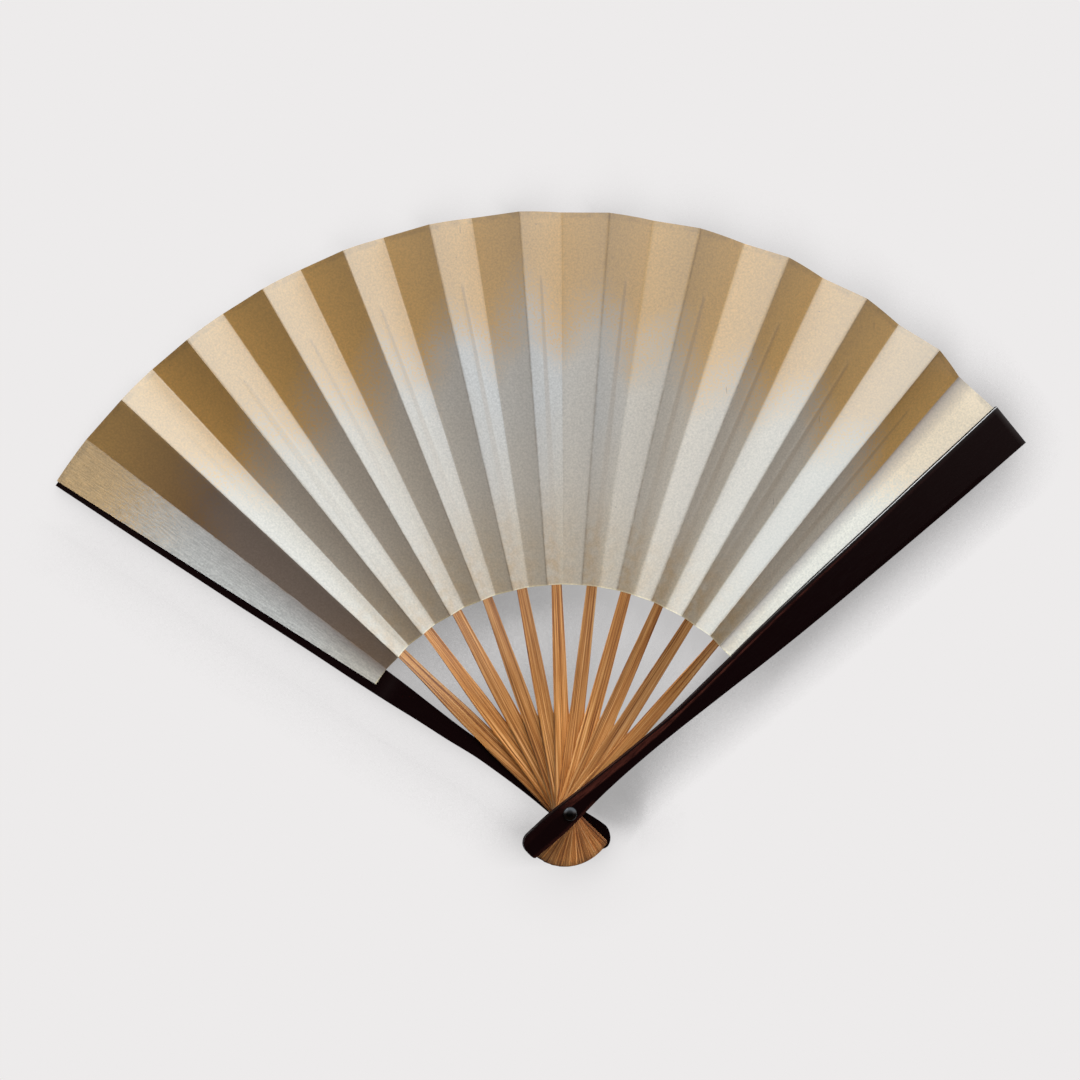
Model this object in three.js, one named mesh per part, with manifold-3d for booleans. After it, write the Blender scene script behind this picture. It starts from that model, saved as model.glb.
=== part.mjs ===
// Folding fan, lying open with its front up. Millimetres, +Z up, the rivet's axis on Z.
// Bones fan out about the rivet: a rear guard at the bottom left, ribs, and a front guard at the top right.
// The pleated leaf has a panel on every bone and a free panel between each two.
import * as THREE from "three";
import Module from "manifold-3d";
import { mergeVertices } from "three/addons/utils/BufferGeometryUtils.js";

const wasm = await Module();
wasm.setup();

// Bones and leaf, overall
const leafOuterRadius = 267;
const leafInnerRadius = 101;
const panelAngle = THREE.MathUtils.degToRad(4.8);
const rearPanelShift = 2.6;
const frontPanelShift = 2;
const frontPanelMargin = 0.5;

// How far each rib's panel leans while the fan lies open, in degrees from the rear guard to the front guard.
// Folds made by hand never open quite evenly.
const restTilts = [28.5, 23, 25.5, 24.5, 21, 22, 17.5, 14, 24, 18.5, 33];
const ribCount = restTilts.length;

// Paper
const sheetThickness = 0.3;
const pocketSheet = 0.25;
const creaseGap = 0.15;
const freePanelGap = 0.4;
const layerGap = 0.1;
const glueGap = 0.05;

// Ribs: a thick root that turns on the rivet and a thin blade that runs inside its panel
const ribTail = 24.4;
const ribTailWidth = 9.2;
const ribPivotWidth = 8.8;
const ribNeckRadius = 45;
const ribNeckWidth = 6.6;
const ribLeafWidth = 4.3;
const ribRootGap = 0.2;
const bladeThickness = 0.4;
const bladeEndRadius = 237;
const bladeEndWidth = 1.3;
const bladeGap = 0.1;
const pocketMouth = 1;
const thinStartLead = 10;
const thinEndLead = 5;
const twistLead = 3;

// Guards
const guardThickness = 3.2;
const guardOverhang = 0.5;
const guardTail = 25;
const guardTailWidth = 10.6;
const guardPivotWidth = 10;
const guardNeckRadius = 44;
const guardNeckWidth = 7.2;
const guardLeafWidth = 12.8;
const guardTipWidth = 20.4;
const guardBevelWidth = 1.4;
const guardBevelDepth = 1;
const guardSeatLead = 4;
const guardSeatRamp = 3;

// Rivet
const pinRadius = 1.5;
const pinClearance = 0.1;
const headRadius = 3.15;
const domeHeight = 1.8;
const rearHeadHeight = 0.9;
const headGap = 0.1;

// Facets
const tailSteps = 6;
const twistSteps = 8;
const freePanelSteps = 6;
const arcSegments = 4;
const pinSegments = 24;
const domeSteps = 6;

// Places along a bone, from the rivet out
const bladeThinStart = ribNeckRadius + thinStartLead;
const bladeThinEnd = leafInnerRadius - thinEndLead;
const twistStart = ribNeckRadius + twistLead;
const twistEnd = leafInnerRadius - twistLead;
const guardSeatEnd = leafInnerRadius - guardSeatLead;
const guardTipRadius = leafOuterRadius + guardOverhang;

// Heights of the stack, from the rear head up
const pocketHeight = bladeThickness + 2 * bladeGap + 2 * pocketSheet;
const bonePitch = pocketHeight + sheetThickness + 2 * layerGap;
const ribRootThickness = bonePitch - ribRootGap;
const rearSeatZ = rearHeadHeight + headGap + guardThickness;
const firstPanelZ = rearSeatZ + glueGap + sheetThickness / 2;
const firstRibZ = firstPanelZ + 1.5 * sheetThickness + 2 * layerGap + pocketHeight / 2;
const lastRibZ = firstRibZ + (ribCount - 1) * bonePitch;
const lastPanelZ = lastRibZ + firstRibZ - firstPanelZ;
const frontSeatZ = lastPanelZ + sheetThickness / 2 + glueGap;
const guardRootPad = firstRibZ - ribRootThickness / 2 - rearSeatZ - ribRootGap;

// Each bone's height, tilt and sideways shift of its panel, then the angle to the next bone: wide enough that the
// free panel between them, measured halfway along the leaf, is as wide as a rib's panel.
const halfAngle = panelAngle / 2;
const bones = [{ z: firstPanelZ, tilt: 0, shift: rearPanelShift }];
restTilts.forEach((degrees, k) => {
  bones.push({ z: firstRibZ + k * bonePitch, tilt: THREE.MathUtils.degToRad(degrees), shift: 0 });
});
bones.push({ z: lastPanelZ, tilt: 0, shift: frontPanelShift });

function stepAngle(left, right) {
  const radius = (leafInnerRadius + leafOuterRadius) / 2;
  const half = radius * Math.sin(halfAngle);
  const rise = right.z - left.z + half * (Math.sin(left.tilt) + Math.sin(right.tilt));
  const run = Math.sqrt(4 * half * half - rise * rise);
  return (run + half * (Math.cos(left.tilt) + Math.cos(right.tilt)) + left.shift - right.shift) / radius;
}

const steps = bones.slice(1).map((bone, k) => stepAngle(bones[k], bone));
const spread = steps.reduce((sum, step) => sum + step, 0);
bones[0].azimuth = spread / 2;
steps.forEach((step, k) => (bones[k + 1].azimuth = bones[k].azimuth - step));

// Materials
const paper = new THREE.MeshStandardMaterial({ color: 0xd8cda8, roughness: 0.85, metalness: 0.1 });
const bamboo = new THREE.MeshStandardMaterial({ color: 0xb57a3e, roughness: 0.55, metalness: 0 });
const lacquer = new THREE.MeshStandardMaterial({ color: 0x140809, roughness: 0.18, metalness: 0 });
const darkMetal = new THREE.MeshStandardMaterial({ color: 0x2a2a2c, roughness: 0.3, metalness: 0.9 });

// Solids and booleans
const axisY = new THREE.Vector3(0, 1, 0);
const axisZ = new THREE.Vector3(0, 0, 1);

function toSolid(geometry) {
  const bare = geometry.clone();
  bare.deleteAttribute("normal");
  bare.deleteAttribute("uv");
  const merged = mergeVertices(bare, 1e-4);
  return new wasm.Manifold(
    new wasm.Mesh({
      numProp: 3,
      vertProperties: new Float32Array(merged.attributes.position.array),
      triVerts: new Uint32Array(merged.index.array),
    }),
  );
}

function toGeometry(solid) {
  const mesh = solid.getMesh();
  const geometry = new THREE.BufferGeometry();
  geometry.setAttribute("position", new THREE.BufferAttribute(mesh.vertProperties, 3));
  geometry.setIndex(new THREE.BufferAttribute(mesh.triVerts, 1));
  geometry.computeVertexNormals();
  return geometry;
}

// A closed solid through a row of convex outlines, each with its points in the same right-hand turn about the row.
function loft(outlines) {
  const count = outlines[0].length;
  const last = (outlines.length - 1) * count;
  const index = [];
  for (let row = 0; row < last; row += count)
    for (let i = 0; i < count; i++) {
      const next = (i + 1) % count;
      index.push(row + i, row + next, row + count + next);
      index.push(row + i, row + count + next, row + count + i);
    }
  for (let i = 1; i + 1 < count; i++) {
    index.push(0, i + 1, i);
    index.push(last, last + i, last + i + 1);
  }
  const geometry = new THREE.BufferGeometry();
  const points = outlines.flat().flatMap((point) => point.toArray());
  geometry.setAttribute("position", new THREE.Float32BufferAttribute(points, 3));
  geometry.setIndex(index);
  geometry.computeVertexNormals();
  return geometry;
}

// A flat plate of this thickness, its middle at z = 0.
function plate(shape, thickness) {
  const options = { depth: thickness, bevelEnabled: false, curveSegments: arcSegments };
  return new THREE.ExtrudeGeometry(shape, options).translate(0, 0, -thickness / 2);
}

function pinHole() {
  const height = 2 * (guardThickness + guardRootPad + bonePitch);
  const hole = new THREE.CylinderGeometry(pinRadius + pinClearance, pinRadius + pinClearance, height, pinSegments);
  return toSolid(hole.rotateX(Math.PI / 2));
}

// Straight lines through [radius, value] pairs.
function along(table, radius) {
  let i = 1;
  while (i < table.length - 1 && radius > table[i][0]) i++;
  const [r0, v0] = table[i - 1];
  const [r1, v1] = table[i];
  return THREE.MathUtils.mapLinear(THREE.MathUtils.clamp(radius, r0, r1), r0, r1, v0, v1);
}

// The stations of a bone's round tail, as [radius, width] pairs from the end in.
function tailStations(tail, width) {
  const stations = [];
  for (let i = 1; i <= tailSteps; i++) {
    const turn = ((i / tailSteps) * Math.PI) / 2;
    stations.push([-tail + (width / 2) * (1 - Math.cos(turn)), width * Math.sin(turn)]);
  }
  return stations;
}

// Ribs, straight along +Y from the rivet, twisted to their panel's tilt between the root and the leaf
const ribWidths = [
  [0, ribPivotWidth],
  [ribNeckRadius, ribNeckWidth],
  [leafInnerRadius, ribLeafWidth],
  [bladeEndRadius, bladeEndWidth],
];
const ribThicknesses = [
  [bladeThinStart, ribRootThickness],
  [bladeThinEnd, bladeThickness],
];

function ribOutline(radius, width, tilt) {
  const x = width / 2;
  const z = along(ribThicknesses, radius) / 2;
  const twist = tilt * THREE.MathUtils.smoothstep(radius, twistStart, twistEnd);
  const corners = [[-x, z], [x, z], [x, -z], [-x, -z]];
  return corners.map(([cx, cz]) => new THREE.Vector3(cx, radius, cz).applyAxisAngle(axisY, twist));
}

function ribGeometry(tilt) {
  const stations = [...tailStations(ribTail, ribTailWidth), [0, ribPivotWidth]];
  const radii = [ribNeckRadius];
  for (let i = 0; i <= twistSteps; i++) radii.push(THREE.MathUtils.lerp(twistStart, twistEnd, i / twistSteps));
  radii.push(leafInnerRadius, bladeEndRadius);
  radii.forEach((radius) => stations.push([radius, along(ribWidths, radius)]));
  const body = loft(stations.map(([radius, width]) => ribOutline(radius, width, tilt)));
  return toGeometry(toSolid(body).subtract(pinHole()));
}

// Guards, along +Y with the face that meets the leaf at z = 0 and the bevelled outer face above
const guardWidths = [
  [guardNeckRadius, guardNeckWidth],
  [leafInnerRadius, guardLeafWidth],
  [guardTipRadius, guardTipWidth],
];
const guardPads = [
  [guardSeatEnd - guardSeatRamp, guardRootPad],
  [guardSeatEnd, 0],
];

function guardOutline(radius, width) {
  const x = width / 2;
  const bevel = Math.min(guardBevelWidth, x / 2);
  const top = guardThickness;
  const shoulder = guardThickness - guardBevelDepth;
  const seat = -along(guardPads, radius);
  const corners = [[bevel - x, top], [x - bevel, top], [x, shoulder], [x, seat], [-x, seat], [-x, shoulder]];
  return corners.map(([cx, cz]) => new THREE.Vector3(cx, radius, cz));
}

function guardGeometry() {
  const stations = [...tailStations(guardTail, guardTailWidth), [0, guardPivotWidth]];
  const radii = [guardNeckRadius, guardSeatEnd - guardSeatRamp, guardSeatEnd, leafInnerRadius, guardTipRadius];
  radii.forEach((radius) => stations.push([radius, along(guardWidths, radius)]));
  const body = loft(stations.map(([radius, width]) => guardOutline(radius, width)));
  return toGeometry(toSolid(body).subtract(pinHole()));
}

// Leaf panels
function sectorShape() {
  const outer = halfAngle - creaseGap / leafOuterRadius;
  const inner = halfAngle - creaseGap / leafInnerRadius;
  const up = Math.PI / 2;
  const shape = new THREE.Shape();
  shape.absarc(0, 0, leafOuterRadius, up - outer, up + outer, false);
  shape.absarc(0, 0, leafInnerRadius, up + inner, up - inner, true);
  return shape;
}

// The end panel under the front guard, cut off just inside the guard's right edge.
function frontPanelGeometry() {
  const start = leafInnerRadius - pocketMouth;
  const inner = guardLeafWidth / 2 - frontPanelMargin - frontPanelShift;
  const outer = guardTipWidth / 2 - frontPanelMargin - frontPanelShift;
  const left = -guardTipWidth;
  const corners = [[inner, start], [outer, guardTipRadius], [left, guardTipRadius], [left, start]];
  const kept = new THREE.Shape(corners.map(([x, y]) => new THREE.Vector2(x, y)));
  const sheet = toSolid(plate(sectorShape(), sheetThickness));
  return toGeometry(sheet.intersect(toSolid(plate(kept, 2 * sheetThickness))));
}

// A strip that follows the rib's blade with this much room on every side.
function bladeStrip(start, room) {
  const end = bladeEndRadius + room;
  const inner = along(ribWidths, start) / 2 + room;
  const outer = bladeEndWidth / 2 + room;
  const corners = [[inner, start], [outer, end], [-outer, end], [-inner, start]];
  return new THREE.Shape(corners.map(([x, y]) => new THREE.Vector2(x, y)));
}

// Two sheets glued together around a pocket for the rib's blade, open at the inner edge.
function ribPanelGeometry() {
  const sheets = toSolid(plate(sectorShape(), 2 * pocketSheet));
  const raised = toSolid(plate(bladeStrip(leafInnerRadius, bladeGap + pocketSheet), pocketHeight));
  const mouth = leafInnerRadius - pocketMouth;
  const pocket = toSolid(plate(bladeStrip(mouth, bladeGap), bladeThickness + 2 * bladeGap));
  return toGeometry(sheets.add(raised).subtract(pocket));
}

// A point of the crease on one side of a bone's panel: side -1 is its left edge and 1 its right edge.
function creasePoint(bone, side, radius) {
  const point = new THREE.Vector3(side * radius * Math.sin(halfAngle), radius * Math.cos(halfAngle), 0);
  point.x += bone.shift;
  point.applyAxisAngle(axisY, bone.tilt).applyAxisAngle(axisZ, bone.azimuth);
  point.z += bone.z;
  return point;
}

// The sheet between the right edge of one bone's panel and the left edge of the next bone's panel.
function freePanelGeometry(left, right) {
  const outlines = [];
  for (let i = 0; i <= freePanelSteps; i++) {
    const radius = THREE.MathUtils.lerp(leafInnerRadius, leafOuterRadius, i / freePanelSteps);
    const valley = creasePoint(left, 1, radius);
    const mountain = creasePoint(right, -1, radius);
    const across = mountain.clone().sub(valley).normalize();
    const outward = valley.clone().add(mountain).setZ(0).normalize();
    const half = across.clone().cross(outward).normalize().multiplyScalar(sheetThickness / 2);
    valley.addScaledVector(across, freePanelGap);
    mountain.addScaledVector(across, -freePanelGap);
    outlines.push([
      valley.clone().add(half),
      mountain.clone().add(half),
      mountain.clone().sub(half),
      valley.clone().sub(half),
    ]);
  }
  return loft(outlines);
}

// Rivet
function rivetPinGeometry() {
  const bottom = rearHeadHeight + glueGap;
  const seat = frontSeatZ + guardThickness + headGap;
  const profile = [new THREE.Vector2(0, bottom), new THREE.Vector2(pinRadius, bottom)];
  profile.push(new THREE.Vector2(pinRadius, seat), new THREE.Vector2(headRadius, seat));
  for (let i = 1; i <= domeSteps; i++) {
    const turn = ((i / domeSteps) * Math.PI) / 2;
    const radius = i === domeSteps ? 0 : headRadius * Math.cos(turn);
    profile.push(new THREE.Vector2(radius, seat + domeHeight * Math.sin(turn)));
  }
  return new THREE.LatheGeometry(profile, pinSegments).rotateX(Math.PI / 2);
}

function rearHeadGeometry() {
  const disc = new THREE.CylinderGeometry(headRadius, headRadius, rearHeadHeight, pinSegments);
  return disc.rotateX(Math.PI / 2).translate(0, 0, rearHeadHeight / 2);
}

// Assembly
const fan = new THREE.Group();

function named(name, geometry, material) {
  const mesh = new THREE.Mesh(geometry, material);
  mesh.name = name;
  return mesh;
}

function numbered(word, number) {
  return word + "_" + String(number).padStart(2, "0");
}

// A group whose +Y runs along a bone.
function boneGroup(bone, z) {
  const group = new THREE.Group();
  group.position.z = z;
  group.rotation.z = bone.azimuth;
  fan.add(group);
  return group;
}

const rearBone = bones[0];
const frontBone = bones[bones.length - 1];

const rearGuard = named("rear_guard", guardGeometry(), lacquer);
rearGuard.scale.z = -1;
boneGroup(rearBone, rearSeatZ).add(rearGuard);
boneGroup(frontBone, frontSeatZ).add(named("front_guard", guardGeometry(), lacquer));

for (let k = 1; k <= ribCount; k++)
  boneGroup(bones[k], bones[k].z).add(named(numbered("rib", k), ribGeometry(bones[k].tilt), bamboo));

bones.forEach((bone, k) => {
  let geometry = ribPanelGeometry();
  if (bone === rearBone) geometry = plate(sectorShape(), sheetThickness);
  if (bone === frontBone) geometry = frontPanelGeometry();
  const panel = named(numbered("leaf_panel", 2 * k + 1), geometry, paper);
  panel.position.x = bone.shift;
  panel.rotation.y = bone.tilt;
  boneGroup(bone, bone.z).add(panel);
});

for (let k = 0; k + 1 < bones.length; k++)
  fan.add(named(numbered("leaf_panel", 2 * k + 2), freePanelGeometry(bones[k], bones[k + 1]), paper));

fan.add(named("rivet_pin", rivetPinGeometry(), darkMetal));
fan.add(named("rivet_rear_head", rearHeadGeometry(), darkMetal));

export default fan;
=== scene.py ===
import math

import bpy
import numpy as np
from mathutils import Matrix, Vector


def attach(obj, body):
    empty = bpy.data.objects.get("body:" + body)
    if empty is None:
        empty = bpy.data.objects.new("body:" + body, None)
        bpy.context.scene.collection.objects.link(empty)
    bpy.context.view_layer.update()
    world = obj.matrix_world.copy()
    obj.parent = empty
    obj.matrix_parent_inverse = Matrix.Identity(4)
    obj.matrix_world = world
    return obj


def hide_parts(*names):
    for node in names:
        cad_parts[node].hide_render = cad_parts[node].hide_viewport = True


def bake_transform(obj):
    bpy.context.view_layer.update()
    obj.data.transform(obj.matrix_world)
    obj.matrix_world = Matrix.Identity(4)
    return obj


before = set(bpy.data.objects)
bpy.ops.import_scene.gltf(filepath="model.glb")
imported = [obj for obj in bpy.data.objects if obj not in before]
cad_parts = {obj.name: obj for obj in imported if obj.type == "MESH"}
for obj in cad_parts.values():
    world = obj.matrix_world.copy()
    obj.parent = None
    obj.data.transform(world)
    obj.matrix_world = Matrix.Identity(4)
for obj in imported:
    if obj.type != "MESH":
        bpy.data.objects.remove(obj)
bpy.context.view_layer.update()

MM = 0.001

# Sizes in millimetres, as in the frame: bones turn about the rivet on Z, +Y is the middle of the open leaf
LEAF_OUTER = 267.0
LEAF_INNER = 101.0
PANEL_HALF = math.radians(4.8) / 2
REST_TILTS = [28.5, 23, 25.5, 24.5, 21, 22, 17.5, 14, 24, 18.5, 33]
RIB_COUNT = len(REST_TILTS)
REAR_SHIFT = 2.6
FRONT_SHIFT = 2.0
FRONT_MARGIN = 0.5
BONE_PITCH = 1.6
REAR_PANEL_Z = 4.4
FIRST_RIB_Z = 5.6
END_LIFT = FIRST_RIB_Z - REAR_PANEL_Z

SHEET = 0.26
POCKET = 0.46
POCKET_SHOULDER = 1.5
BLADE_END = 238.0
# Ribs are set one by one: how far right of its panel's middle each one enters the leaf, and ends
RIB_ENTRIES = [-1.25, -0.6, -0.35, -0.4, 0.45, 0.7, 0.9, 0.25, 0.3, 0.5, 1.25]
RIB_ENDS = [-0.6, -0.05, -1.35, -2.45, -0.35, -1.15, 0.7, -0.75, -1.4, -1.3, -1.35]

RIB_TAIL = 24.4
RIB_ROOT_THICKNESS = 1.4
RIB_BLADE_THICKNESS = 0.3
RIB_RADII = [-RIB_TAIL, 0, 43, 47, LEAF_INNER, LEAF_INNER + 4, BLADE_END]
RIB_WIDTHS = [9.2, 8.8, 6.8, 6.2, 5.4, 4.4, 0.8]
# The ribs nearest the rear guard are cut wider where they part, and every tail is cut to its own length
RIB_SHOULDERS = [1.25, 1.0, 0.7, 0.4, 0.25, 0.1, 0, 0.1, 0.1, 0.1, 0]
RIB_TAILS = np.linspace(26.0, 23.3, RIB_COUNT)
RIB_THINNING = (55.0, 96.0)
TWIST = (48.0, 98.0)

GUARD_THICKNESS = 3.2
GUARD_PAD = 0.5
GUARD_PAD_END = 97.0
# Outlines of the guards from tail to tip: radius, then how far right of the rivet the left and right sides lie
GUARD_SIDES = {
    "rear_guard": [
        (-27.4, -4.9, 5.4), (-18, -5.3, 6.0), (-10, -5.3, 5.4), (0, -4.5, 4.8), (10, -3.5, 4.4), (20, -2.9, 4.1),
        (30, -2.6, 4.2), (45, -2.4, 4.4), (60, -3.5, 4.5), (75, -4.0, 5.2), (90, -4.9, 6.0), (110, -5.7, 6.6),
        (130, -6.2, 7.0), (150, -6.9, 7.4), (170, -7.8, 8.0), (190, -8.4, 8.6), (230, -9.6, 9.7),
        (266, -10.5, 10.5),
    ],
    "front_guard": [
        (-25.2, -5.5, 4.6), (-14, -5.9, 5.1), (-6, -6.1, 5.1), (0, -5.7, 4.7), (8, -5.1, 3.9), (16, -4.7, 3.3),
        (30, -4.0, 3.0), (45, -3.5, 3.2), (55, -3.1, 3.6), (65, -3.15, 4.1), (75, -3.6, 4.7), (95, -4.7, 5.9),
        (110, -5.7, 6.9), (130, -6.7, 7.9), (150, -7.4, 8.6), (185, -8.4, 9.5), (220, -9.5, 10.2),
        (267.5, -10.8, 10.6),
    ],
}
GUARD_CORNERS = {"rear_guard": (4.0, 7.0), "front_guard": (4.6, 0.9)}
GUARD_EASING = 5.0
GUARD_BEVEL = 1.3
GUARD_ROOT_BEVEL = 0.12
REAR_SEAT_Z = 4.2
FRONT_SEAT_Z = 23.0

HEAD_RADIUS = 3.15
PIN_RADIUS = 1.5
DOME_SEAT_Z = 26.3
DOME_HEIGHT = 1.8
DOME_LIP = 0.3
PIN_FOOT_Z = 0.95
REAR_HEAD_HEIGHT = 0.9
DISH_INSET = 1.3
DISH_RIM = 0.25
DISH_DEPTH = 0.12

# Widths of the small bevels on sharp edges, and the angles in degrees under which neighbouring faces shade smooth
RIB_EDGE = 0.15
GUARD_EDGE = 0.1
DOME_EDGE = 0.08
REAR_HEAD_EDGE = 0.22
SHEET_ANGLE = 40
RIB_ANGLE = 40
GUARD_ANGLE = 14
RIVET_ANGLE = 35


# The bones: height, lean and sideways shift of the panel on each, then the angle to the next bone
bones = [dict(z=REAR_PANEL_Z, tilt=0.0, shift=REAR_SHIFT)]
for number, degrees in enumerate(REST_TILTS):
    bones.append(dict(z=FIRST_RIB_Z + number * BONE_PITCH, tilt=math.radians(degrees), shift=0.0))
bones.append(dict(z=bones[-1]["z"] + END_LIFT, tilt=0.0, shift=FRONT_SHIFT))
middle = (LEAF_INNER + LEAF_OUTER) / 2
half_width = middle * math.sin(PANEL_HALF)
steps = []
for left, right in zip(bones, bones[1:]):
    rise = right["z"] - left["z"] + half_width * (math.sin(left["tilt"]) + math.sin(right["tilt"]))
    run = math.sqrt(4 * half_width**2 - rise**2)
    run += half_width * (math.cos(left["tilt"]) + math.cos(right["tilt"])) + left["shift"] - right["shift"]
    steps.append(run / middle)
azimuth = sum(steps) / 2
for bone, step in zip(bones, steps + [0]):
    bone["azimuth"] = azimuth
    azimuth -= step


def on_bone(bone, x, y, z, lean):
    """Points given across, along and above a bone, leant about its length, in the frame and in mm."""
    x, z = x * np.cos(lean) + z * np.sin(lean), z * np.cos(lean) - x * np.sin(lean)
    turn = bone["azimuth"]
    x, y = x * np.cos(turn) - y * np.sin(turn), x * np.sin(turn) + y * np.cos(turn)
    return np.stack([x, y, z + bone["z"]], axis=1)


def smooth(value, low, high):
    """Eases from 0 at low to 1 at high."""
    share = np.clip((value - low) / (high - low), 0, 1)
    return share * share * (3 - 2 * share)


def rounded(value, places, sizes, reach):
    """A size that changes along a bone, with its kinks eased over the reach."""
    return sum(np.interp(value + step, places, sizes) for step in np.linspace(-reach, reach, 9)) / 9


# Materials
def linear(hex_colour):
    """An sRGB hex colour as linear red, green, blue and alpha."""
    parts = [int(hex_colour[i : i + 2], 16) / 255 for i in (1, 3, 5)]
    return tuple(c / 12.92 if c <= 0.04045 else ((c + 0.055) / 1.055) ** 2.4 for c in parts) + (1.0,)


def add(tree, kind, sockets=None, output=0, **settings):
    """Adds a node of this kind, its sockets set to values or linked to other nodes, and returns an output of it."""
    made = tree.nodes.new("ShaderNode" + kind)
    for name, value in settings.items():
        setattr(made, name, value)
    for name, value in (sockets or {}).items():
        if isinstance(value, bpy.types.NodeSocket):
            tree.links.new(value, made.inputs[name])
        else:
            made.inputs[name].default_value = value
    return made.outputs[output] if len(made.outputs) else None


def new_material(name):
    material = bpy.data.materials.new(name)
    material.use_nodes = True
    material.node_tree.nodes.clear()
    return material, material.node_tree


SMOOTH = "SMOOTHSTEP"
BACKDROP = "#EDEBEB"
SHADOW_LEAN = (-0.50, 0.46, 0.73)
RAISED_SHADOW = 2.2
LYING_SHADOW = 0.45
DARKEST_BESIDE = 0.45
DARKEST_BETWEEN = 0.33


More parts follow.
